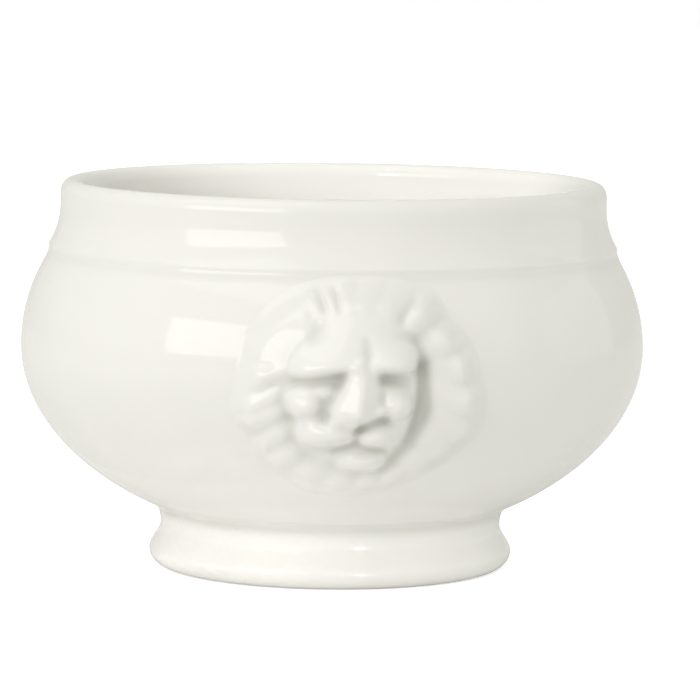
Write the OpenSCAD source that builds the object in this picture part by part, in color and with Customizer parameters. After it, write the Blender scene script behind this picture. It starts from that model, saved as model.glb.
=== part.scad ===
// Footed soup bowl in white glazed porcelain, with a lion mask on each side.
// The bowl stands on the plane z = 0, centred on the Z axis. One mask faces -Y, the other +Y.

/* [Bowl] */
// Greatest radius, at the belly
belly_r = 60.3; // [52:0.1:75]
// Clear height under the middle of the rounded bottom
under_h = 5.3; // [4:0.1:8]
// Depth of the rounded bottom below the widest ring
bottom_depth = 37.7; // [32:0.1:45]
// Thickness of the belly's wall
wall_t = 4.1; // [3:0.1:5.5]
// Thickness of the floor in the middle
floor_t = 4.6; // [3.5:0.1:7]

/* [Shoulder and collar] */
// Height from the widest ring to the step
shoulder_h = 16.4; // [14:0.1:20]
// How far the shoulder draws in from the belly up to the step
shoulder_in = 4.5; // [3:0.1:7]
// How far the band above the shoulder stands back at the step
step_in = 0.8; // [0.4:0.1:1.5]
// How gently the step is rounded at its foot and its top
step_round = 0.4; // [0.3:0.1:0.8]
// Height of the upright band, with its fillet
band_h = 3.3; // [2.6:0.1:5]
// How far the collar draws in above the band
collar_in = 2.2; // [1:0.1:4]
// Height from the band to where the collar stands upright
flare_h = 7.6; // [5:0.1:12]
// Height of the upright collar under the lip
upright_h = 1.9; // [1:0.1:6]

/* [Lip] */
// Thickness of the rounded lip
lip_t = 4.1; // [3:0.1:5.5]
// Height of the lip's rounding
lip_h = 2.6; // [1.5:0.1:3.5]

/* [Foot] */
// Greatest radius of the foot, near the table
foot_r = 35.2; // [32:0.1:40]
// How far the foot's waist is drawn in
waist_in = 2.15; // [1:0.05:4]
// Width of the cove between the waist and the bowl
cove_w = 2.85; // [1.5:0.05:4]
// Height of the cove
cove_h = 4.7; // [3.5:0.1:6]
// Height of the rounded toe
toe_h = 3; // [2:0.1:4]
// Width of the toe's rounding
toe_w = 3.2; // [2:0.1:4]
// Width of the flat ring that stands on the table
land_w = 3; // [2:0.1:3.5]
// Lean of the foot's inner wall, over its whole height
draft = 1.4; // [0.5:0.1:3]

/* [Lion mask] */
// Width of the mane
mask_w = 45.6; // [38:0.2:54]
// Height of the mane
mask_h = 39.8; // [34:0.2:44]
// How far the tip of the nose stands out from the wall
nose_d = 10.4; // [7:0.1:13]
// Thickness of the mane at its edge
edge_t = 1.1; // [0.8:0.1:2]
// How far the middle of the mask lies below the widest ring
mask_drop = 3; // [2:0.1:5]
// Lean of the mask to the right, in degrees
mask_lean = 3; // [-6:0.5:6]
// Thickness of the slip between the mask and the wall
slip_t = 0.04; // [0.03:0.01:0.1]

/* [Hidden] */

glaze = [0.95, 0.94, 0.91];
mask_glaze = [0.9, 0.89, 0.86];
foot_glaze = [0.86, 0.85, 0.82];

// Roundness of what is turned, and steps along each curve of its outline
$fn = 180;
curve_steps = 10;
belly_steps = 22;

// Heights, stacked from the table
belly_z = under_h + bottom_depth;
step_z = belly_z + shoulder_h;
band_z = step_z + band_h;
upright_z = band_z + flare_h;
lip_z = upright_z + upright_h;

// Radii, each worked out from the one below it
shoulder_r = belly_r - shoulder_in;
band_r = shoulder_r - step_in;
collar_r = band_r - collar_in;
waist_r = foot_r - waist_in;
joint_r = waist_r + cove_w;

// A cubic curve from p to q that leaves along a and arrives along b
function curve(p, a, b, q, steps) = [for (i = [0:steps]) let (t = i / steps, s = 1 - t)
    s * s * s * p + 3 * s * s * t * (p + a) + 3 * s * t * t * (q - b) + t * t * t * q];
// A list without its first point
function tail(points) = [for (i = [1:len(points) - 1]) points[i]];
// Points of an ellipse about the axis, at height z0, between two angles
function arc(rx, ry, z0, from, to, steps) = [for (i = [0:steps]) let (t = from + (to - from) * i / steps)
    [rx * cos(t), z0 + ry * sin(t)]];

// The shoulder is part of a dome over the belly's widest ring. Its height follows from the shoulder's radius
function dome_h(r_max, r_top) = shoulder_h / sqrt(1 - pow(r_top / r_max, 2));
// Slope of a dome at the step, as a radius over a height
function dome_slope(r_max, r_top) = -r_max * shoulder_h / pow(dome_h(r_max, r_top), 2) / (r_top / r_max);

outer_dome = dome_h(belly_r, shoulder_r);
outer_slope = dome_slope(belly_r, shoulder_r);
inner_r = belly_r - wall_t;
inner_shoulder_r = shoulder_r - wall_t;
inner_dome = dome_h(inner_r, inner_shoulder_r);
inner_slope = dome_slope(inner_r, inner_shoulder_r);
inner_depth = bottom_depth - floor_t;
lip_r = collar_r - lip_t / 2;

// Where the foot's cove and the recess under the bowl meet the round bottom
function bottom_angle(r) = -acos(r / belly_r);
joint_z = belly_z + bottom_depth * sin(bottom_angle(joint_r));
waist_z = joint_z - cove_h;
joint_slope = pow(belly_r / bottom_depth, 2) * (belly_z - joint_z) / joint_r;
land_r = foot_r - toe_w;
recess_r = land_r - land_w;
recess_top_r = recess_r - draft;
joint_angle = bottom_angle(joint_r);
recess_angle = bottom_angle(recess_top_r);

// Outline of the bowl outside, from under the middle up to the lip
third = 1 / 3;
bottom_curve = arc(belly_r, bottom_depth, belly_z, -90, recess_angle, curve_steps);
seat_curve = arc(belly_r, bottom_depth, belly_z, recess_angle, joint_angle, curve_steps / 2);
belly_curve = arc(belly_r, bottom_depth, belly_z, joint_angle, 0, belly_steps);
shoulder_curve = arc(belly_r, outer_dome, belly_z, 0, asin(shoulder_h / outer_dome), curve_steps);
band_round = band_h * third;
band_top = [band_r + outer_slope * band_round * third, band_z];
step_curve = curve([shoulder_r, step_z], [outer_slope, 1] * step_round,
    [0, step_round], [band_r, band_z - band_round], curve_steps / 2);
edge_curve = curve([band_r, band_z - band_round], [0, band_round] * third * 2,
    [outer_slope, 1] * band_round * third, band_top, curve_steps / 2);
flare_curve = curve(band_top, [outer_slope, 1] * flare_h * third,
    [0, flare_h * third], [collar_r, upright_z], curve_steps);
wall_curve = concat(belly_curve, tail(shoulder_curve), tail(step_curve), tail(edge_curve), tail(flare_curve));
lip_curve = [for (i = [0:curve_steps * 2]) let (t = 180 * i / (curve_steps * 2))
    [lip_r + cos(t) * lip_t / 2, lip_z + sin(t) * lip_h]];

// Outline inside, from the lip down to the middle of the floor
inside_collar_r = collar_r - lip_t;
inside_flare = curve([inside_collar_r, upright_z], [0, -flare_h * third],
    [-inner_slope, -1] * flare_h * third, [inner_shoulder_r, step_z], curve_steps);
inside_shoulder = arc(inner_r, inner_dome, belly_z, asin(shoulder_h / inner_dome), 0, curve_steps);
inside_belly = arc(inner_r, inner_depth, belly_z, 0, -90, belly_steps + curve_steps);

// Radius of the wall outside at a height, read off the bowl's own outline
wall_table = [for (p = concat(tail(seat_curve), tail(wall_curve))) [p[1], p[0]]];
function wall_r(z) = lookup(z, wall_table);

module bowl_body() {
    color(glaze) rotate_extrude()
        polygon(concat(bottom_curve, tail(seat_curve), tail(wall_curve), lip_curve,
            inside_flare, tail(inside_shoulder), tail(inside_belly)));
}

// The foot is a turned ring. Its top follows the bowl's round bottom
toe_curve = [for (i = [0:curve_steps]) let (t = -90 + 90 * i / curve_steps)
    [land_r + toe_w * cos(t), toe_h + toe_h * sin(t)]];
ankle_curve = curve([foot_r, toe_h], [0, (waist_z - toe_h) * third],
    [0, (waist_z - toe_h) * third], [waist_r, waist_z], curve_steps);
cove_curve = curve([waist_r, waist_z], [0, cove_h * third * 2],
    [joint_slope, 1] * cove_h * third / 2, [joint_r, joint_z], curve_steps);
heel_w = land_w * third;
heel_curve = [for (i = [0:curve_steps / 2]) let (t = 180 + 90 * i / (curve_steps / 2))
    [recess_r + heel_w + heel_w * cos(t), heel_w + heel_w * sin(t)]];
seat_down = [for (i = [len(seat_curve) - 1:-1:0]) seat_curve[i]];

module foot() {
    color(foot_glaze) rotate_extrude()
        polygon(concat(toe_curve, tail(ankle_curve), tail(cove_curve), tail(seat_down), heel_curve));
}

// The mask is pressed in a mould and drawn straight off it, so its relief is a height above the wall along Y.
// Places are shares of its half width and half height, and heights are shares of the nose's.
half_w = mask_w / 2;
half_h = mask_h / 2;
mask_z = belly_z - mask_drop;

// Rounded forms of the head: across, up, half width, half height above and below, height, lean in degrees,
// squareness, fullness and how much they slope back upward. The head looks a little to its right, so its
// two sides differ
form_shares = [
    [0.01, -0.04, 0.55, 0.67, 0.67, 0.51, 0, 2.8, 0.26, 0], // face
    [0, 0.29, 0.48, 0.73, 0.1, 0.67, 0, 2.3, 0.62, 0.22], // forehead
    [-0.25, 0.29, 0.34, 0.29, 0.11, 0.7, 14, 2.4, 0.42, 0.3], // left brow
    [0.28, 0.34, 0.24, 0.26, 0.11, 0.74, -4, 2.4, 0.42, 0.3], // right brow
    [-0.44, -0.06, 0.14, 0.16, 0.16, 0.63, 30, 3, 0.36, 0.2], // left cheek
    [0.32, -0.03, 0.17, 0.2, 0.2, 0.72, 20, 2.3, 0.45, 0.12], // right cheek
    [-0.21, -0.35, 0.27, 0.17, 0.14, 0.76, 10, 2.4, 0.45, 0.12], // left muzzle
    [0.15, -0.34, 0.18, 0.16, 0.14, 0.79, 0, 2.2, 0.45, 0.1], // right muzzle
    [0.31, -0.38, 0.16, 0.16, 0.12, 0.66, 0, 2.2, 0.5, 0], // right muzzle, outer
    [0.08, -0.62, 0.22, 0.11, 0.1, 0.6, 4, 2.5, 0.42, 0], // lower lip
    [0.39, -0.24, 0.17, 0.33, 0.33, 0.6, 0, 2.3, 0.4, 0], // right jowl
    [-0.36, -0.3, 0.15, 0.21, 0.21, 0.57, 0, 2.2, 0.5, 0], // left jowl
    [-0.28, 0.05, 0.16, 0.1, 0.1, 0.57, 8, 2.2, 0.5, 0], // left lid
    [0.21, 0.1, 0.14, 0.09, 0.09, 0.6, -4, 2.2, 0.5, 0], // right lid
    [-0.16, -0.22, 0.1, 0.09, 0.09, 0.8, 0, 2, 0.5, 0], // left nostril
    [0.18, -0.11, 0.08, 0.09, 0.09, 0.81, 0, 2, 0.5, 0] // right nostril
];
// The nose and the mane's locks: root across and up, tip across and up, half width at root and tip,
// height at root and tip, fall from the ridge where it is roof-shaped, bluntness of the tip
lock_shares = [
    [0.03, 0.24, 0, -0.14, 0.12, 0.28, 0.71, 1, 0.17, 1.5], // nose
    [-0.43, 0.62, -0.45, 0.37, 0.4, 0.4, 0.39, 0.39, 0.45, 0],
    [-0.54, 0.23, -0.75, 0.13, 0.14, 0.13, 0.31, 0.38, 0.3, 0],
    [-0.55, 0.06, -0.82, -0.16, 0.12, 0.11, 0.27, 0.33, 0, 0],
    [-0.54, -0.12, -0.87, -0.34, 0.12, 0.11, 0.27, 0.33, 0, 0],
    [-0.47, -0.29, -0.74, -0.53, 0.12, 0.11, 0.26, 0.31, 0, 0],
    [-0.4, -0.46, -0.59, -0.7, 0.13, 0.12, 0.26, 0.3, 0, 0],
    [-0.25, -0.66, -0.36, -0.84, 0.2, 0.19, 0.27, 0.29, 0, 0],
    [-0.05, -0.72, -0.09, -0.86, 0.2, 0.18, 0.28, 0.28, 0, 0],
    [0.13, -0.73, 0.14, -0.85, 0.14, 0.13, 0.28, 0.27, 0, 0],
    [0.32, -0.72, 0.34, -0.83, 0.12, 0.12, 0.27, 0.27, 0, 0],
    [0.47, -0.58, 0.55, -0.73, 0.14, 0.13, 0.25, 0.27, 0, 0],
    [0.63, -0.41, 0.77, -0.58, 0.14, 0.13, 0.23, 0.28, 0, 0],
    [0.67, -0.18, 0.88, -0.31, 0.16, 0.15, 0.23, 0.32, 0, 0],
    [0.7, 0.06, 0.88, -0.01, 0.17, 0.17, 0.22, 0.35, 0, 0],
    [0.69, 0.29, 0.84, 0.31, 0.17, 0.17, 0.22, 0.36, 0, 0],
    [0.57, 0.51, 0.71, 0.59, 0.18, 0.17, 0.27, 0.38, 0, 0],
    [0.38, 0.7, 0.51, 0.84, 0.18, 0.17, 0.37, 0.33, 0, 0],
    [0.2, 0.8, 0.29, 0.95, 0.18, 0.16, 0.38, 0.29, 0, 0],
    [0.01, 0.81, 0.07, 0.97, 0.17, 0.16, 0.39, 0.28, 0, 0],
    [-0.12, 0.8, -0.14, 0.95, 0.13, 0.12, 0.4, 0.28, 0, 0],
    [-0.22, 0.76, -0.27, 0.9, 0.1, 0.08, 0.4, 0.28, 0, 0],
    [-0.32, 0.72, -0.4, 0.85, 0.12, 0.1, 0.38, 0.31, 0, 0]
];
// Pressed lines and hollows: from across and up, to across and up, half width, depth
line_shares = [
    [0.017, -0.327, 0.014, -0.425, 0.026, 0.125],
    [0.02, -0.436, -0.157, -0.515, 0.024, 0.106],
    [0.02, -0.436, 0.258, -0.5, 0.024, 0.106],
    [0.042, 0.523, 0.062, 0.246, 0.044, 0.058],
    [0.07, -0.26, 0.203, -0.154, 0.031, 0.144],
    [0.548, 0.296, 0.608, -0.107, 0.066, 0.125],
    [0.608, -0.107, 0.532, -0.419, 0.066, 0.135],
    [0.532, -0.419, 0.358, -0.675, 0.061, 0.115],
    [-0.284, 0.117, -0.198, 0.132, 0.096, 0.087],
    [0.207, 0.157, 0.384, 0.149, 0.088, 0.087]
];
// The mane's ruff, a ring around the head: its place from the middle to the rim, half width, height
ruff_shares = [0.77, 0.27, 0.24];
// Reach of the mane's uneven rim, at equal turns from the right
rim_shares = [
    1.04, 1, 1.03, 1.02, 1.12, 1.08, 1.05, 1.06, 1.06, 1.04, 1.02, 0.96,
    0.96, 1, 0.94, 1.02, 0.98, 1, 0.99, 0.97, 0.95, 0.96, 1, 1.06
];
// Height of the mane's ground
ground_share = 0.13;
// How much of the way to the rim its rounded edge takes
edge_share = 0.14;
// Rounding of a roof-shaped ridge
ridge_share = 0.063;
// How sharply two forms part where they meet, and how steep a roof's sides are
parting = 7;
eave = 6;

function form(p, f) = let (c = cos(f[6]), n = sin(f[6]), d = p - [f[0] * half_w, f[1] * half_h],
    x = d[0] * c + d[1] * n, y = d[1] * c - d[0] * n,
    q = pow(abs(x) / (f[2] * half_w), f[7]) + pow(abs(y) / ((y > 0 ? f[3] : f[4]) * half_h), f[7]))
    q < 1 ? f[5] * (1 - f[9] * y / (f[3] * half_h)) * pow(1 - q, f[8]) : 0;
function clamped(t) = max(0, min(1, t));
// Distance of a point from a line, and how far along the line it lies. A blunt tip falls off faster
function reach(p, a, b, blunt) = let (t = (p - a) * (b - a) / ((b - a) * (b - a)), s = clamped(t))
    [norm([norm(p - a - s * (b - a)), blunt * max(0, t - 1) * norm(b - a)]), s];
function round_side(g) = sqrt(1 - g * g);
// A roof-shaped side falls evenly with the distance d from its ridge, up to a steep edge
function roof_side(g, d, fall) = (1 - fall * (norm([d, ridge_share]) - ridge_share)) * sqrt(1 - pow(g, eave));
function lock(p, k) = let (r = reach(p, [k[0] * half_w, k[1] * half_h], [k[2] * half_w, k[3] * half_h], k[9]),
    g = min(1, r[0] / ((k[4] + (k[5] - k[4]) * r[1]) * half_h)), high = k[6] + (k[7] - k[6]) * r[1])
    high * (k[8] > 0 ? roof_side(g, r[0] / (k[5] * half_h), k[8]) : round_side(g));
function line(p, k) = let (r = reach(p, [k[0] * half_w, k[1] * half_h], [k[2] * half_w, k[3] * half_h], 0))
    k[5] * exp(-pow(r[0] / (k[4] * half_w), 2));
function ruff(share) = ruff_shares[2] * sqrt(max(0, 1 - pow((share - ruff_shares[0]) / ruff_shares[1], 2)));
function total(values) = values * [for (v = values) 1];
// Height above the wall of a point that lies at a share of the way from the middle to the rim
function relief(p, share) = let (
    heights = concat([ground_share, ruff(share)], [for (f = form_shares) form(p, f)],
        [for (k = lock_shares) lock(p, k)]),
    raised = pow(total([for (h = heights) pow(h, parting)]), 1 / parting),
    pressed = max([for (k = line_shares) line(p, k)]),
    edge = clamped((1 - share) / edge_share))
    (raised - pressed) * nose_d * round_side(1 - edge);

rim_angles = 108;
rings = 25;
back_rings = 6;
function rim(a) = let (count = len(rim_shares), k = a / 360 * count, i = floor(k), t = k - i,
    s = t * t * (3 - 2 * t))
    rim_shares[i % count] * (1 - s) + rim_shares[(i + 1) % count] * s;
function spot(a, share) = [half_w * cos(a), half_h * sin(a)] * rim(a) * share;
// A point of the mask at height h above the wall, leaning and pressed along Y
function on_wall(p, h) = let (x = p[0] * cos(mask_lean) + p[1] * sin(mask_lean),
    z = mask_z - p[0] * sin(mask_lean) + p[1] * cos(mask_lean))
    [x, -sqrt(pow(wall_r(z), 2) - x * x) - h, z];

// Points run ring by ring from the middle out over the front, then back in behind
function turn(i) = 360 * i / rim_angles;
front_points = [for (j = [1:rings]) for (i = [0:rim_angles - 1]) let (p = spot(turn(i), j / rings))
    on_wall(p, max(edge_t, relief(p, j / rings)))];
back_points = [for (j = [back_rings:-1:1]) for (i = [0:rim_angles - 1])
    on_wall(spot(turn(i), j / back_rings), slip_t)];
mask_middle = [for (h = [relief([0, 0], 0), slip_t]) on_wall([0, 0], h)];
mask_points = concat([mask_middle[0]], front_points, back_points, [mask_middle[1]]);
all_rings = rings + back_rings;
last_point = 1 + all_rings * rim_angles;
function at(j, i) = 1 + j * rim_angles + i % rim_angles;
// Each four neighbours are joined across the two that lie nearer in depth, so steep sides stay even
function apart(a, b) = abs(mask_points[a][1] - mask_points[b][1]);
function pair(a, b, c, d) = apart(a, c) < apart(b, d) ? [[a, b, c], [a, c, d]] : [[a, b, d], [b, c, d]];
mask_faces = concat(
    [for (i = [0:rim_angles - 1]) [0, at(0, i + 1), at(0, i)]],
    [for (j = [0:all_rings - 2]) for (i = [0:rim_angles - 1]) each
        pair(at(j, i), at(j, i + 1), at(j + 1, i + 1), at(j + 1, i))],
    [for (i = [0:rim_angles - 1]) [last_point, at(all_rings - 1, i), at(all_rings - 1, i + 1)]]);

module lion_mask() {
    color(mask_glaze) polyhedron(mask_points, mask_faces);
}

module lion_mask_front() {
    lion_mask();
}

module lion_mask_back() {
    rotate(180) lion_mask();
}

bowl_body();
foot();
lion_mask_front();
lion_mask_back();
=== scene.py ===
import math
import bmesh
import bpy
import numpy as np
from mathutils import Matrix, Vector


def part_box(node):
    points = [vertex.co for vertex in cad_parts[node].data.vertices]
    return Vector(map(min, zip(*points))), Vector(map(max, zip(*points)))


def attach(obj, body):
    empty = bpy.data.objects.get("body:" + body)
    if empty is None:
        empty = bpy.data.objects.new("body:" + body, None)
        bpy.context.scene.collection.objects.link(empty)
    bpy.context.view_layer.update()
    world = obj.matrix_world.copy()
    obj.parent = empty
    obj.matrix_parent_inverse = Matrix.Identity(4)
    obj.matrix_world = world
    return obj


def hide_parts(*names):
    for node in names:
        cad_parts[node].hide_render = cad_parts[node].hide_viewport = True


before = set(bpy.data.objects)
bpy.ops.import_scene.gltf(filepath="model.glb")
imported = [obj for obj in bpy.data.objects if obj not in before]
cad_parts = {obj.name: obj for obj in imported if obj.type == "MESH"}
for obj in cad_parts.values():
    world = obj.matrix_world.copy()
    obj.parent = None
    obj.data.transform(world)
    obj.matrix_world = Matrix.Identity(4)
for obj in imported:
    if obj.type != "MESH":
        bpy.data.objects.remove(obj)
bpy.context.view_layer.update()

# The bowl: one wall of white porcelain, turned on the wheel from its rounded bottom up to the rolled lip.
# It is dipped in a clear glossy glaze, which softens the small step at the shoulder. Its corner and the
# middle of its floor inside are painted a little darker, as painted shade.
MM = 0.001
BELLY_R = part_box("bowl_body")[1].x / MM
BELLY_Z = 43.0
BOTTOM_DEPTH = 37.7
WALL_T = 4.1
FLOOR_T = 4.6
SHOULDER_H = 16.4
SHOULDER_R = 55.8
BAND_R = 55.0
BAND_H = 3.3
STEP_ROUND = 0.4
COLLAR_R = 52.8
FLARE_H = 7.6
UPRIGHT_H = 1.9
LIP_T = 4.1
LIP_H = 2.6
STEP_Z = BELLY_Z + SHOULDER_H
BAND_Z = STEP_Z + BAND_H
UPRIGHT_Z = BAND_Z + FLARE_H
LIP_Z = UPRIGHT_Z + UPRIGHT_H
TURN_STEPS = 288
WELD = 0.00001


def curve(start, leave, arrive, end, steps):
    """Points of a cubic curve that leaves start along one vector and reaches end along another."""
    points = []
    for i in range(steps + 1):
        t = i / steps
        s = 1 - t
        points.append(s ** 3 * start + 3 * s * s * t * (start + leave)
                      + 3 * s * t * t * (end - arrive) + t ** 3 * end)
    return points


def oval(rx, ry, z0, start, end, steps):
    """Points of an oval about the axis, between two angles in degrees."""
    angles = [math.radians(start + (end - start) * i / steps) for i in range(steps + 1)]
    return [Vector((rx * math.cos(a), z0 + ry * math.sin(a))) for a in angles]


def dome(r_max, r_top):
    """Height of the shoulder's dome, and its slope at the step."""
    height = SHOULDER_H / math.sqrt(1 - (r_top / r_max) ** 2)
    return height, -r_max * SHOULDER_H / height ** 2 / (r_top / r_max)


def bottom_angle(radius):
    """Where on the round bottom, in degrees, the wall has that radius."""
    return -math.degrees(math.acos(radius / BELLY_R))


def bottom_radius(z):
    return BELLY_R * math.sqrt(1 - ((BELLY_Z - z) / BOTTOM_DEPTH) ** 2)


outer_dome, outer_slope = dome(BELLY_R, SHOULDER_R)
band_round = BAND_H / 3
edge = Vector((BAND_R + outer_slope * band_round / 3, BAND_Z))
lean = Vector((outer_slope, 1))
up = Vector((0, 1))
outside = oval(BELLY_R, BOTTOM_DEPTH, BELLY_Z, -90, 0, 70)
outside += oval(BELLY_R, outer_dome, BELLY_Z, 0, math.degrees(math.asin(SHOULDER_H / outer_dome)), 22)[1:]
outside += curve(Vector((SHOULDER_R, STEP_Z)), lean * STEP_ROUND, up * STEP_ROUND,
                 Vector((BAND_R, BAND_Z - band_round)), 24)[1:]
outside += curve(Vector((BAND_R, BAND_Z - band_round)), up * band_round * 2 / 3,
                 lean * band_round / 3, edge, 14)[1:]
outside += curve(edge, lean * FLARE_H / 3, up * FLARE_H / 3, Vector((COLLAR_R, UPRIGHT_Z)), 24)[1:]
rolled = [Vector((COLLAR_R - LIP_T / 2 + LIP_T / 2 * math.cos(a), LIP_Z + LIP_H * math.sin(a)))
          for a in [math.pi * i / 24 for i in range(25)]]
inner_r = BELLY_R - WALL_T
inner_dome, inner_slope = dome(inner_r, SHOULDER_R - WALL_T)
inside = curve(Vector((COLLAR_R - LIP_T, UPRIGHT_Z)), up * -FLARE_H / 3,
               Vector((-inner_slope, -1)) * FLARE_H / 3, Vector((SHOULDER_R - WALL_T, STEP_Z)), 16)
inside += oval(inner_r, inner_dome, BELLY_Z, math.degrees(math.asin(SHOULDER_H / inner_dome)), 0, 14)[1:]
inside += oval(inner_r, BOTTOM_DEPTH - FLOOR_T, BELLY_Z, 0, -90, 46)[1:]


def turned(name, profile, closed, shade_spots):
    """A piece turned on the wheel: its outline, in millimetres, spun about the axis. Each shade spot is a
    place on the outline painted darker, as painted shade: radius, height, reach and strength."""
    mesh = bpy.data.meshes.new(name)
    bm = bmesh.new()
    ring = [bm.verts.new((max(p.x, 0.0) * MM, 0, p.y * MM)) for p in profile]
    pairs = list(zip(ring, ring[1:])) + ([(ring[-1], ring[0])] if closed else [])
    edges = [bm.edges.new(pair) for pair in pairs]
    bmesh.ops.spin(bm, geom=ring + edges, cent=(0, 0, 0), axis=(0, 0, 1), angle=math.tau,
                   steps=TURN_STEPS, use_merge=True)
    bmesh.ops.remove_doubles(bm, verts=bm.verts, dist=WELD)
    bmesh.ops.recalc_face_normals(bm, faces=bm.faces)
    shade_attribute = bm.verts.layers.float.new("painted_shade")
    # Painted shade: each vertex is painted darker near the given spots.
    for vert in bm.verts:
        radius, height = math.hypot(vert.co.x, vert.co.y) / MM, vert.co.z / MM
        vert[shade_attribute] = max(strength * math.exp(-((radius - r) ** 2 + (height - z) ** 2) / reach ** 2)
                           for r, z, reach, strength in shade_spots)
    for face in bm.faces:
        face.smooth = True
    bm.to_mesh(mesh)
    bm.free()
    piece = bpy.data.objects.new(name, mesh)
    bpy.context.scene.collection.objects.link(piece)
    return piece


def glaze_finish():
    """Node group: a dipped glaze, painted darker where shade is painted in and wiped off where bare, as a
    colour, a roughness and a height."""
    group = bpy.data.node_groups.new("dipped glaze", "ShaderNodeTree")
    for name in ("Thin", "Shaded", "Clay"):
        group.interface.new_socket(name, in_out="INPUT", socket_type="NodeSocketColor")
    for name in ("Shade", "Bare"):
        group.interface.new_socket(name, in_out="INPUT", socket_type="NodeSocketFloat")
    group.interface.new_socket("Color", in_out="OUTPUT", socket_type="NodeSocketColor")
    for name in ("Roughness", "Height"):
        group.interface.new_socket(name, in_out="OUTPUT", socket_type="NodeSocketFloat")
    nodes, links = group.nodes, group.links
    given, made = nodes.new("NodeGroupInput"), nodes.new("NodeGroupOutput")
    place = nodes.new("ShaderNodeTexCoord")
    noises = []
    for scale, detail in ((28, 2), (90, 1), (2600, 3)):
        noise = nodes.new("ShaderNodeTexNoise")
        noise.inputs["Scale"].default_value = scale
        noise.inputs["Detail"].default_value = detail
        links.new(place.outputs["Object"], noise.inputs["Vector"])
        noises.append(noise)
    drift, ripple, grain = noises

    def blend(factor, first, second):
        mix = nodes.new("ShaderNodeMix")
        mix.data_type = "RGBA"
        links.new(factor, mix.inputs["Factor"])
        links.new(first, mix.inputs["A"])
        links.new(second, mix.inputs["B"])
        return mix.outputs["Result"]

    def multiply_add(value, factor, plus):
        math_node = nodes.new("ShaderNodeMath")
        math_node.operation = "MULTIPLY_ADD"
        links.new(value, math_node.inputs[0])
        for socket, given_value in ((math_node.inputs[1], factor), (math_node.inputs[2], plus)):
            if isinstance(given_value, (int, float)):
                socket.default_value = given_value
            else:
                links.new(given_value, socket)
        return math_node.outputs["Value"]

    # Painted shade: the colour goes from the thin glaze towards a dark grey where the shade input is high,
    # plus a random drift in tone.
    uneven = multiply_add(drift.outputs["Fac"], 0.16, -0.05)
    darkening = multiply_add(given.outputs["Shade"], 0.9, uneven)
    glazed = blend(darkening, given.outputs["Thin"], given.outputs["Shaded"])
    links.new(blend(given.outputs["Bare"], glazed, given.outputs["Clay"]), made.inputs["Color"])
    gloss = multiply_add(drift.outputs["Fac"], 0.06, 0.05)
    links.new(multiply_add(given.outputs["Bare"], 0.6, gloss), made.inputs["Roughness"])
    swell = multiply_add(drift.outputs["Fac"], 3, ripple.outputs["Fac"])
    rough_clay = multiply_add(grain.outputs["Fac"], given.outputs["Bare"], swell)
    links.new(rough_clay, made.inputs["Height"])
    return group


dipped = glaze_finish()
THIN_GLAZE = (0.86, 0.85, 0.82, 1)
# A dark grey, painted into hollows and corners as painted shade.
SHADE_COLOUR = (0.42, 0.425, 0.375, 1)
BARE_CLAY = (0.74, 0.71, 0.65, 1)


def glaze(name):
    """The clear glaze over white porcelain, as a material, and the socket that says where it is wiped off."""
    material = bpy.data.materials.new(name)
    material.use_nodes = True
    nodes, links = material.node_tree.nodes, material.node_tree.links
    shader = nodes["Principled BSDF"]
    shader.inputs["IOR"].default_value = 1.52
    finish = nodes.new("ShaderNodeGroup")
    finish.node_tree = dipped
    finish.inputs["Thin"].default_value = THIN_GLAZE
    finish.inputs["Shaded"].default_value = SHADE_COLOUR
    finish.inputs["Clay"].default_value = BARE_CLAY
    finish.inputs["Bare"].default_value = 0
    # Painted shade, read from the mesh's shade attribute.
    shade_attribute = nodes.new("ShaderNodeAttribute")
    shade_attribute.attribute_name = "painted_shade"
    links.new(shade_attribute.outputs["Fac"], finish.inputs["Shade"])
    links.new(finish.outputs["Color"], shader.inputs["Base Color"])
    links.new(finish.outputs["Roughness"], shader.inputs["Roughness"])
    bump = nodes.new("ShaderNodeBump")
    bump.inputs["Distance"].default_value = 0.00004
    links.new(finish.outputs["Height"], bump.inputs["Height"])
    links.new(bump.outputs["Normal"], shader.inputs["Normal"])
    return material, finish.inputs["Bare"]


# Painted shade: the step's corner and the middle of the floor inside are painted darker.
corner = (BAND_R, STEP_Z + STEP_ROUND * 3, 0.9, 0.1)
floor_middle = (0, BELLY_Z - BOTTOM_DEPTH + FLOOR_T, 24, 0.16)
bowl = turned("bowl", outside + rolled + inside, closed=False, shade_spots=(corner, floor_middle))
bowl.data.materials.append(glaze("glaze on the bowl")[0])
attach(bowl, "root")
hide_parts("bowl_body")

# The foot: a turned ring of the same porcelain, stuck under the round bottom with slip and sponged to a cove.
# It is glazed with the bowl, and the flat ring that stands on the table is wiped bare.
FOOT_R = 35.2
WAIST_R = 33.05
WAIST_Z = 8.0
COVE_H = 4.7
TOE_H = 3.0
TOE_W = 3.2
LAND_W = 3.0
DRAFT = 1.4
joint_z = WAIST_Z + COVE_H
joint_r = bottom_radius(joint_z)
joint_slope = (BELLY_R / BOTTOM_DEPTH) ** 2 * (BELLY_Z - joint_z) / joint_r
land_r = FOOT_R - TOE_W
recess_r = land_r - LAND_W
heel = LAND_W / 3
foot_profile = [Vector((land_r + TOE_W * math.cos(a), TOE_H + TOE_H * math.sin(a)))
                for a in [math.radians(-90 + 90 * i / 16) for i in range(17)]]
foot_profile += curve(Vector((FOOT_R, TOE_H)), up * (WAIST_Z - TOE_H) / 3, up * (WAIST_Z - TOE_H) / 3,
                      Vector((WAIST_R, WAIST_Z)), 16)[1:]
foot_profile += curve(Vector((WAIST_R, WAIST_Z)), up * COVE_H * 2 / 3, Vector((joint_slope, 1)) * COVE_H / 6,
                      Vector((joint_r, joint_z)), 20)[1:]
foot_profile += oval(BELLY_R, BOTTOM_DEPTH, BELLY_Z,
                     bottom_angle(joint_r), bottom_angle(recess_r - DRAFT), 12)[1:]
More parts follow.
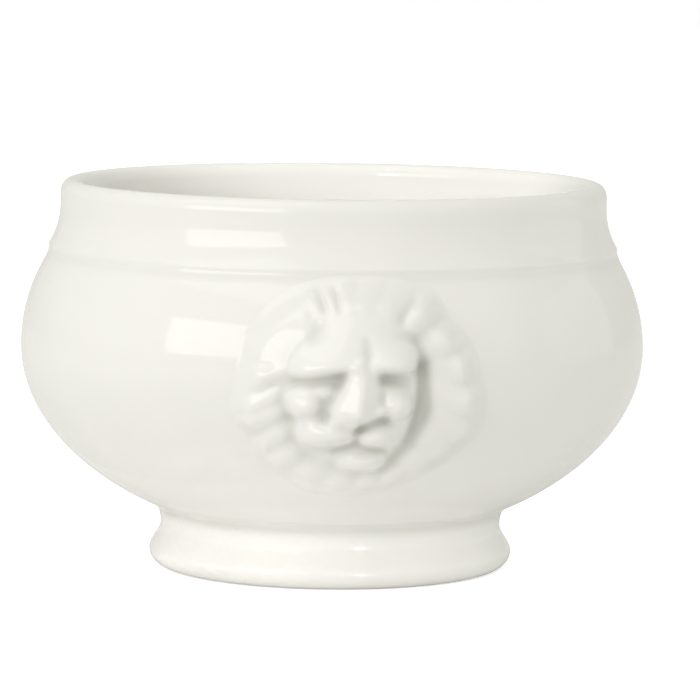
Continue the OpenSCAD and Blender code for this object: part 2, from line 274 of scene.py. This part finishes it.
foot_profile += [Vector((recess_r + heel + heel * math.cos(a), heel + heel * math.sin(a)))
                 for a in [math.radians(180 + 90 * i / 8) for i in range(9)]]
# Painted shade in the cove where the foot meets the bottom.
cove = (WAIST_R + 0.6, WAIST_Z + COVE_H * 0.75, 1.6, 0.3)
foot = turned("foot_ring", foot_profile, closed=True, shade_spots=(cove,))
BARE_H = 0.3
GLAZE_END_H = 0.15
foot_glaze, bare = glaze("glaze on the foot")
nodes, links = foot_glaze.node_tree.nodes, foot_glaze.node_tree.links
place = nodes.new("ShaderNodeTexCoord")
split = nodes.new("ShaderNodeSeparateXYZ")
wiped = nodes.new("ShaderNodeMapRange")
wiped.inputs["From Min"].default_value = (BARE_H + GLAZE_END_H) * MM
wiped.inputs["From Max"].default_value = BARE_H * MM
links.new(place.outputs["Object"], split.inputs["Vector"])
links.new(split.outputs["Z"], wiped.inputs["Value"])
links.new(wiped.outputs["Result"], bare)
foot.data.materials.append(foot_glaze)
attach(foot, "root")
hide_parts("foot")

# The lion masks: pressed from porcelain in a carved mould, drawn straight off it and stuck to the wall with
# slip. The glaze rounds every form, painted shade darkens the hollows, and the mane's edge runs into the
# wall.
MANE_W = 45.6
MANE_H = 39.8
NOSE_D = 10.4
MASK_X = 0.2
MASK_Z = BELLY_Z - 3
MASK_LEAN = math.radians(3)
HALF_W = MANE_W / 2
HALF_H = MANE_H / 2
# Rounded forms of the head: across, up, half width, half height above and below, height, lean in degrees,
# squareness, fullness and how much they slope back upward. The head looks a little to its right, so its two
# sides differ.
FORM_SHARES = (
    (-0.02, -0.04, 0.5, 0.67, 0.67, 0.5, -9, 2.7, 0.3, 0),  # face
    (0, 0.29, 0.48, 0.73, 0.1, 0.67, 0, 2.3, 0.62, 0.22),  # forehead
    (-0.25, 0.29, 0.34, 0.29, 0.11, 0.7, 14, 2.4, 0.42, 0.3),  # left brow
    (0.26, 0.34, 0.22, 0.26, 0.11, 0.74, -4, 2.4, 0.42, 0.3),  # right brow
    (-0.44, -0.06, 0.14, 0.16, 0.16, 0.63, 30, 3, 0.36, 0.2),  # left cheek
    (0.3, -0.03, 0.15, 0.2, 0.19, 0.72, 20, 2.3, 0.45, 0.12),  # right cheek
    (-0.21, -0.35, 0.27, 0.17, 0.14, 0.76, 10, 2.4, 0.45, 0.12),  # left muzzle
    (0.15, -0.34, 0.18, 0.16, 0.14, 0.79, 0, 2.2, 0.45, 0.1),  # right muzzle
    (0.26, -0.38, 0.12, 0.16, 0.12, 0.56, 0, 2.2, 0.5, 0),  # right muzzle, outer
    (0.08, -0.62, 0.22, 0.11, 0.1, 0.6, 4, 2.5, 0.42, 0),  # lower lip
    (0.33, -0.16, 0.12, 0.24, 0.2, 0.44, -15, 2.2, 0.5, 0),  # right jowl
    (-0.36, -0.3, 0.15, 0.21, 0.21, 0.57, 0, 2.2, 0.5, 0),  # left jowl
    (-0.28, 0.05, 0.16, 0.1, 0.1, 0.57, 8, 2.2, 0.5, 0),  # left lid
    (0.21, 0.1, 0.14, 0.09, 0.09, 0.6, -4, 2.2, 0.5, 0),  # right lid
    (-0.16, -0.22, 0.1, 0.09, 0.09, 0.8, 0, 2, 0.5, 0),  # left nostril
    (0.18, -0.11, 0.08, 0.09, 0.09, 0.81, 0, 2, 0.5, 0),  # right nostril
)
# The nose and the mane's locks: root across and up, tip across and up, half width at root and tip, height at
# root and tip, fall of the sides from a sharp ridge, bluntness of the tip.
LOCK_SHARES = (
    (0.03, 0.24, 0, -0.14, 0.16, 0.28, 0.77, 1, 0.24, 1.5),  # nose
    (-0.43, 0.62, -0.45, 0.37, 0.4, 0.4, 0.39, 0.39, 0.45, 0),
    (-0.54, 0.23, -0.75, 0.13, 0.14, 0.13, 0.31, 0.38, 0.3, 0),
    (-0.55, 0.06, -0.82, -0.16, 0.12, 0.11, 0.27, 0.33, 0, 0),
    (-0.54, -0.12, -0.87, -0.34, 0.12, 0.11, 0.27, 0.33, 0, 0),
    (-0.47, -0.29, -0.74, -0.53, 0.12, 0.11, 0.26, 0.31, 0, 0),
    (-0.4, -0.46, -0.59, -0.7, 0.13, 0.12, 0.26, 0.3, 0, 0),
    (-0.25, -0.66, -0.36, -0.84, 0.2, 0.19, 0.27, 0.29, 0, 0),
    (-0.05, -0.72, -0.09, -0.86, 0.2, 0.18, 0.28, 0.28, 0, 0),
    (0.13, -0.73, 0.14, -0.85, 0.14, 0.13, 0.28, 0.27, 0, 0),
    (0.32, -0.72, 0.34, -0.83, 0.12, 0.12, 0.27, 0.27, 0, 0),
    (0.47, -0.58, 0.55, -0.73, 0.14, 0.13, 0.25, 0.27, 0, 0),
    (0.63, -0.41, 0.77, -0.58, 0.14, 0.13, 0.23, 0.28, 0, 0),
    (0.67, -0.18, 0.88, -0.31, 0.16, 0.15, 0.23, 0.32, 0, 0),
    (0.7, 0.06, 0.88, -0.01, 0.17, 0.17, 0.22, 0.35, 0, 0),
    (0.69, 0.29, 0.84, 0.31, 0.17, 0.17, 0.22, 0.36, 0, 0),
    (0.57, 0.51, 0.71, 0.59, 0.18, 0.17, 0.27, 0.38, 0, 0),
    (0.38, 0.7, 0.51, 0.84, 0.18, 0.17, 0.37, 0.33, 0, 0),
    (0.2, 0.8, 0.29, 0.95, 0.18, 0.16, 0.38, 0.29, 0, 0),
    (0.01, 0.81, 0.07, 0.97, 0.17, 0.16, 0.39, 0.28, 0, 0),
    (-0.12, 0.8, -0.14, 0.95, 0.13, 0.12, 0.4, 0.28, 0, 0),
    (-0.22, 0.76, -0.27, 0.9, 0.1, 0.08, 0.4, 0.28, 0, 0),
    (-0.32, 0.72, -0.4, 0.85, 0.12, 0.1, 0.38, 0.31, 0, 0),
)
# Pressed lines and hollows of the mouth, the furrow, the nostril, the right side of the face, the crown and
# the eyes: from across and up, to across and up, half width, depth.
LINE_SHARES = (
    (0.017, -0.327, 0.014, -0.425, 0.026, 0.125),
    (0.02, -0.436, -0.157, -0.515, 0.024, 0.106),
    (0.02, -0.436, 0.258, -0.5, 0.024, 0.106),
    (0.042, 0.523, 0.062, 0.246, 0.044, 0.058),
    (0.02, -0.285, 0.19, -0.165, 0.04, 0.17),
    (0.49, 0.31, 0.535, -0.107, 0.07, 0.135),
    (0.535, -0.107, 0.44, -0.419, 0.078, 0.135),
    (0.44, -0.419, 0.28, -0.66, 0.08, 0.125),
    (-0.3, 0.76, -0.355, 0.92, 0.03, 0.09),
    (-0.18, 0.78, -0.22, 0.93, 0.03, 0.09),
    (0.33, 0.72, 0.43, 0.9, 0.035, 0.08),
    (-0.284, 0.117, -0.198, 0.132, 0.096, 0.072),
    (0.207, 0.157, 0.384, 0.149, 0.088, 0.087),
)
# The mane's ruff, a ring around the head: its place from the middle to the rim, half width, height.
RUFF_SHARES = (0.77, 0.27, 0.24)
# Reach of the mane's uneven rim, at equal turns from the right.
RIM_SHARES = (1.04, 1, 1.03, 1.02, 1.12, 1.08, 1.05, 1.06, 1.06, 1.04, 1.02, 0.96,
              0.96, 1, 0.94, 1.02, 0.98, 1, 0.99, 0.97, 0.95, 0.96, 1, 1.06)
# The relief: its ground, its thinnest place, the rounding of a sharp ridge, how much steeper its right side
# falls and how squarely its sides end, and how sharply neighbouring forms part.
GROUND_SHARE = 0.13
THINNEST_SHARE = 0.03
RIDGE_SHARE = 0.063
STEEP_SIDE = 2.2
RIDGE_END = 12
PARTING = 7
# The edge: how far in it falls, how much farther at the crown, and the slip that squeezes out around it.
EDGE_SHARE = 0.18
CROWN_FADE = 0.5
SLIP_REACH = 1.05
SLIP_T = 0.05
# The blank's rings and turns, and how deep its back sits in the wall.
MASK_RINGS = 150
BACK_RINGS = 12
MASK_TURNS = 300
SEAT_DEPTH = 0.4
# The glaze: half the field on which it is laid and its grid, the width that it rounds, the width of a hollow
# that is painted darker as painted shade, and the hollow's depth at which that shade is darkest.
FIELD = 27
GRID = 0.2
GLAZE_WIDTH = 0.42
SHADE_WIDTH = 2.0
SHADE_DEPTH = 2.4


def rim(u, v):
    """Reach of the mane's rim in the direction of each point."""
    shares = np.array(RIM_SHARES)
    k = np.arctan2(v / HALF_H, u / HALF_W) / math.tau * len(shares)
    i = np.floor(k).astype(int)
    t = k - i
    s = t * t * (3 - 2 * t)
    return shares[i % len(shares)] * (1 - s) + shares[(i + 1) % len(shares)] * s


def reach(u, v, root, tip, blunt):
    """Distance of each point from the line between two places, and how far along the line it lies."""
    root_u, root_v = root[0] * HALF_W, root[1] * HALF_H
    du, dv = tip[0] * HALF_W - root_u, tip[1] * HALF_H - root_v
    length = math.hypot(du, dv)
    t = ((u - root_u) * du + (v - root_v) * dv) / length ** 2
    s = np.clip(t, 0, 1)
    off = np.hypot(u - root_u - s * du, v - root_v - s * dv)
    return np.hypot(off, blunt * np.clip(t - 1, 0, None) * length), s


def relief(u, v):
    """Height of the mask above the wall, in millimetres, without its edge."""
    share = np.hypot(u / HALF_W, v / HALF_H) / rim(u, v)
    ruff_at, ruff_width, ruff_height = RUFF_SHARES
    ruff = ruff_height * np.sqrt(np.clip(1 - ((share - ruff_at) / ruff_width) ** 2, 0, 1))
    total = GROUND_SHARE ** PARTING + ruff ** PARTING
    for x, y, width, above, below, height, turn, square, full, slope in FORM_SHARES:
        c, n = math.cos(math.radians(turn)), math.sin(math.radians(turn))
        du, dv = u - x * HALF_W, v - y * HALF_H
        across, along = du * c + dv * n, dv * c - du * n
        q = np.abs(across / (width * HALF_W)) ** square
        q += np.abs(along / (np.where(along > 0, above, below) * HALF_H)) ** square
        form = height * (1 - slope * along / (above * HALF_H)) * np.clip(1 - q, 0, 1) ** full
        total += form ** PARTING
    for x, y, tip_x, tip_y, width, tip_width, height, tip_height, slope, blunt in LOCK_SHARES:
        off, s = reach(u, v, (x, y), (tip_x, tip_y), blunt)
        g = np.minimum(off / ((width + (tip_width - width) * s) * HALF_H), 1)
        side = np.sqrt(1 - g * g)
        if slope:
            fall = slope * np.where(u > (x + (tip_x - x) * s) * HALF_W, STEEP_SIDE, 1)
            side = 1 - fall * (np.hypot(off / (tip_width * HALF_H), RIDGE_SHARE) - RIDGE_SHARE)
            side = side * np.sqrt(1 - g ** RIDGE_END)
        total += ((height + (tip_height - height) * s) * side) ** PARTING
    pressed = 0
    for x, y, end_x, end_y, width, depth in LINE_SHARES:
        off = reach(u, v, (x, y), (end_x, end_y), 0)[0]
        pressed = np.maximum(pressed, depth * np.exp(-(off / (width * HALF_W)) ** 2))
    return np.maximum(total ** (1 / PARTING) - pressed, THINNEST_SHARE) * NOSE_D


def softened(field, width):
    """A field of heights, as the glaze rounds it over a width in millimetres, along its rows and columns."""
    near = np.arange(-math.ceil(3 * width / GRID), math.ceil(3 * width / GRID) + 1) * GRID
    weights = np.exp(-0.5 * (near / width) ** 2)
    weights /= weights.sum()
    for turn in range(2):
        padded = np.pad(field, ((0, 0), (len(near) // 2, len(near) // 2)), mode="edge")
        field = sum(w * padded[:, i:i + field.shape[1]] for i, w in enumerate(weights)).T
    return field


def read_off(field, u, v):
    """Values of a field between its grid's points."""
    i, j = (v + FIELD) / GRID, (u + FIELD) / GRID
    a, b = np.floor(i).astype(int), np.floor(j).astype(int)
    s, t = i - a, j - b
    return ((field[a, b] * (1 - t) + field[a, b + 1] * t) * (1 - s)
            + (field[a + 1, b] * (1 - t) + field[a + 1, b + 1] * t) * s)


def pressed_shape(blank):
    """Where each point of the round blank comes to lie on the wall, in metres, and how much painted shade it
    gets.
    """
    line = np.arange(-FIELD, FIELD + GRID / 2, GRID)
    glazed = softened(relief(*np.meshgrid(line, line)), GLAZE_WIDTH)
    # Painted shade: how far each point lies below its softened surroundings, as a share of the hollow's
    # depth.
    hollow = np.clip((softened(glazed, SHADE_WIDTH) - glazed) / SHADE_DEPTH, 0, 1)
    share = np.hypot(blank[:, 0], blank[:, 1])
    u, v = blank[:, 0] * HALF_W, blank[:, 1] * HALF_H
    far = rim(u, v)
    u, v = u * far, v * far
    fade = EDGE_SHARE * (1 + CROWN_FADE * np.clip(v / HALF_H, 0, 1))
    edge = np.clip((SLIP_REACH - share) / fade, 0, 1)
    raised = (read_off(glazed, u, v) + SLIP_T) * np.sin(edge * math.pi / 2) ** 2 - SLIP_T
    raised = np.where(blank[:, 2] > 0.5, raised, -SEAT_DEPTH)
    x = MASK_X + u * math.cos(MASK_LEAN) + v * math.sin(MASK_LEAN)
    z = MASK_Z - u * math.sin(MASK_LEAN) + v * math.cos(MASK_LEAN)
    radius = np.interp(z, [p.y for p in outside], [p.x for p in outside])
    y = -np.sqrt(radius ** 2 - x ** 2) - raised
    return np.stack((x, y, z), 1) * MM, read_off(hollow, u, v) * edge


def pressed_mask(name):
    """A lion mask: a round blank spun from a line, its front at height 1 and its back at 0, then pressed."""
    mesh = bpy.data.meshes.new(name)
    bm = bmesh.new()
    front = [bm.verts.new((SLIP_REACH * i / MASK_RINGS, 0, 1)) for i in range(MASK_RINGS + 1)]
    back = [bm.verts.new((SLIP_REACH * i / BACK_RINGS, 0, 0)) for i in range(BACK_RINGS, -1, -1)]
    ring = front + back
    edges = [bm.edges.new(pair) for pair in zip(ring, ring[1:])]
    bmesh.ops.spin(bm, geom=ring + edges, cent=(0, 0, 0), axis=(0, 0, 1), angle=math.tau,
                   steps=MASK_TURNS, use_merge=True)
    bmesh.ops.remove_doubles(bm, verts=bm.verts, dist=WELD)
    shade_attribute = bm.verts.layers.float.new("painted_shade")
    places, darkening = pressed_shape(np.array([vert.co for vert in bm.verts]))
    for vert, place, shade_amount in zip(bm.verts, places, darkening):
        vert.co = place
        vert[shade_attribute] = shade_amount
    bmesh.ops.recalc_face_normals(bm, faces=bm.faces)
    for face in bm.faces:
        face.smooth = True
    bm.to_mesh(mesh)
    bm.free()
    piece = bpy.data.objects.new(name, mesh)
    bpy.context.scene.collection.objects.link(piece)
    return piece


mask_glaze = glaze("glaze on the masks")[0]
front_mask = pressed_mask("lion_front")
back_mask = front_mask.copy()
back_mask.name = "lion_back"
back_mask.data = front_mask.data.copy()
bm = bmesh.new()
bm.from_mesh(back_mask.data)
bmesh.ops.rotate(bm, verts=bm.verts, cent=(0, 0, 0), matrix=Matrix.Rotation(math.pi, 3, "Z"))
bm.to_mesh(back_mask.data)
bm.free()
bpy.context.scene.collection.objects.link(back_mask)
for mask, node in ((front_mask, "lion_mask_front"), (back_mask, "lion_mask_back")):
    mask.data.materials.append(mask_glaze)
    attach(mask, "root")
    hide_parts(node)

# The studio: a pale table top that shows white to the camera and keeps the bowl's soft shadow, in a pale room
# that is brightest behind the camera. A soft box stands on the left and another higher up, a weak one lights
# the right edge, two low strips graze the foot, and a thin one shines over the lip into the bowl.
table_mesh = bpy.data.meshes.new("table")
bm = bmesh.new()
bmesh.ops.create_circle(bm, cap_ends=True, segments=64, radius=3.0)
bm.to_mesh(table_mesh)
bm.free()
table = bpy.data.objects.new("table", table_mesh)
bpy.context.scene.collection.objects.link(table)
pale = bpy.data.materials.new("pale table")
pale.use_nodes = True
nodes, links = pale.node_tree.nodes, pale.node_tree.links
paint = nodes["Principled BSDF"]
paint.inputs["Base Color"].default_value = (0.82, 0.82, 0.81, 1)
paint.inputs["Roughness"].default_value = 0.9
paint.inputs["Specular IOR Level"].default_value = 0.0
paths = nodes.new("ShaderNodeLightPath")
glow = nodes.new("ShaderNodeEmission")
glow.inputs["Strength"].default_value = 0.08
lift = nodes.new("ShaderNodeEmission")
lift.inputs["Strength"].default_value = 0.56
shine = nodes.new("ShaderNodeMixShader")
both = nodes.new("ShaderNodeAddShader")
surface = nodes["Material Output"]
links.new(paths.outputs["Is Camera Ray"], shine.inputs["Fac"])
links.new(glow.outputs["Emission"], shine.inputs[1])
links.new(lift.outputs["Emission"], shine.inputs[2])
links.new(paint.outputs["BSDF"], both.inputs[0])
links.new(shine.outputs["Shader"], both.inputs[1])
links.new(both.outputs["Shader"], surface.inputs["Surface"])
table.data.materials.append(pale)

world = bpy.data.worlds.new("pale room")
bpy.context.scene.world = world
world.use_nodes = True
nodes, links = world.node_tree.nodes, world.node_tree.links
nodes.clear()
way = nodes.new("ShaderNodeTexCoord")
facing = nodes.new("ShaderNodeVectorMath")
facing.operation = "DOT_PRODUCT"
facing.inputs[1].default_value = Vector((-0.2, -0.97, -0.15)).normalized()
links.new(way.outputs["Generated"], facing.inputs[0])
ramp = nodes.new("ShaderNodeMapRange")
ramp.interpolation_type = "SMOOTHSTEP"
ramp.inputs["From Min"].default_value = -0.6
ramp.inputs["From Max"].default_value = 1.0
links.new(facing.outputs["Value"], ramp.inputs["Value"])
tint = nodes.new("ShaderNodeMix")
tint.data_type = "RGBA"
tint.inputs["A"].default_value = (0.68, 0.685, 0.64, 1)
tint.inputs["B"].default_value = (0.88, 0.875, 0.85, 1)
links.new(ramp.outputs["Result"], tint.inputs["Factor"])
room = nodes.new("ShaderNodeBackground")
links.new(tint.outputs["Result"], room.inputs["Color"])
white = nodes.new("ShaderNodeBackground")
white.inputs["Color"].default_value = (1, 1, 1, 1)
paths = nodes.new("ShaderNodeLightPath")
pick = nodes.new("ShaderNodeMixShader")
links.new(paths.outputs["Is Camera Ray"], pick.inputs["Fac"])
links.new(room.outputs["Background"], pick.inputs[1])
links.new(white.outputs["Background"], pick.inputs[2])
sky = nodes.new("ShaderNodeOutputWorld")
links.new(pick.outputs["Shader"], sky.inputs["Surface"])

CAMERA_TURN = math.radians(4.2)
LAMP_AIM = Vector((0, 0, 0.05))


def lamp(name, turn, height, distance, width, tall, power, colour=(1, 1, 1)):
    """A soft box that faces the bowl, placed by its bearing from the camera's line and its height in
    degrees, and by its distance in metres."""
    light = bpy.data.lights.new(name, "AREA")
    light.shape = "RECTANGLE"
    light.size, light.size_y = width, tall
    light.energy = power
    light.color = colour
    holder = bpy.data.objects.new(name, light)
    bearing = math.radians(turn) - CAMERA_TURN
    rise = math.radians(height)
    out = Vector((math.sin(bearing) * math.cos(rise), -math.cos(bearing) * math.cos(rise), math.sin(rise)))
    holder.location = LAMP_AIM + out * distance
    holder.rotation_mode = "QUATERNION"
    holder.rotation_quaternion = out.to_track_quat("Z", "Y")
    bpy.context.scene.collection.objects.link(holder)
    return holder


lamp("left soft box", -41.5, 15.5, 1.3, 0.97, 0.48, 3.0, (1, 0.99, 0.97))
lamp("top light", -55, 64, 1.1, 0.9, 0.9, 2.0)
lamp("light on the right edge", 105, 8, 1.2, 0.8, 0.8, 0.55)
for bearing, power in ((20, 0.0025), (-78, 0.0022)):
    strip = lamp("light on the foot", bearing, 0, 0.55, 0.14, 0.01, power)
    strip.location.z = WAIST_Z * MM
    strip.data.spread = math.radians(5.5)
inner_light = lamp("light into the bowl", -25, 15, 0.6, 0.08, 0.004, 0.0013)
inner_light.location += Vector((0.018, 0.048, 0.015))
inner_light.data.spread = math.radians(2.5)

# The camera stands where the photograph was taken from: a long lens, a little above the rim.
camera_data = bpy.data.cameras.new("camera")
camera_data.lens = 225.3
camera = bpy.data.objects.new("camera", camera_data)
bpy.context.scene.collection.objects.link(camera)
CAMERA_D = 0.8462
CAMERA_Z = 0.1343
CAMERA_DIP = math.radians(6.24)
CAMERA_ROLL = math.radians(-0.7)
CAMERA_AIM = math.radians(0.16)
camera.location = (-CAMERA_D * math.sin(CAMERA_TURN), -CAMERA_D * math.cos(CAMERA_TURN), CAMERA_Z)
camera.rotation_euler = (math.radians(90) - CAMERA_DIP, CAMERA_ROLL, -CAMERA_TURN - CAMERA_AIM)
camera.rotation_mode = "XYZ"
bpy.context.scene.camera = camera
bpy.context.scene.view_settings.view_transform = "Standard"
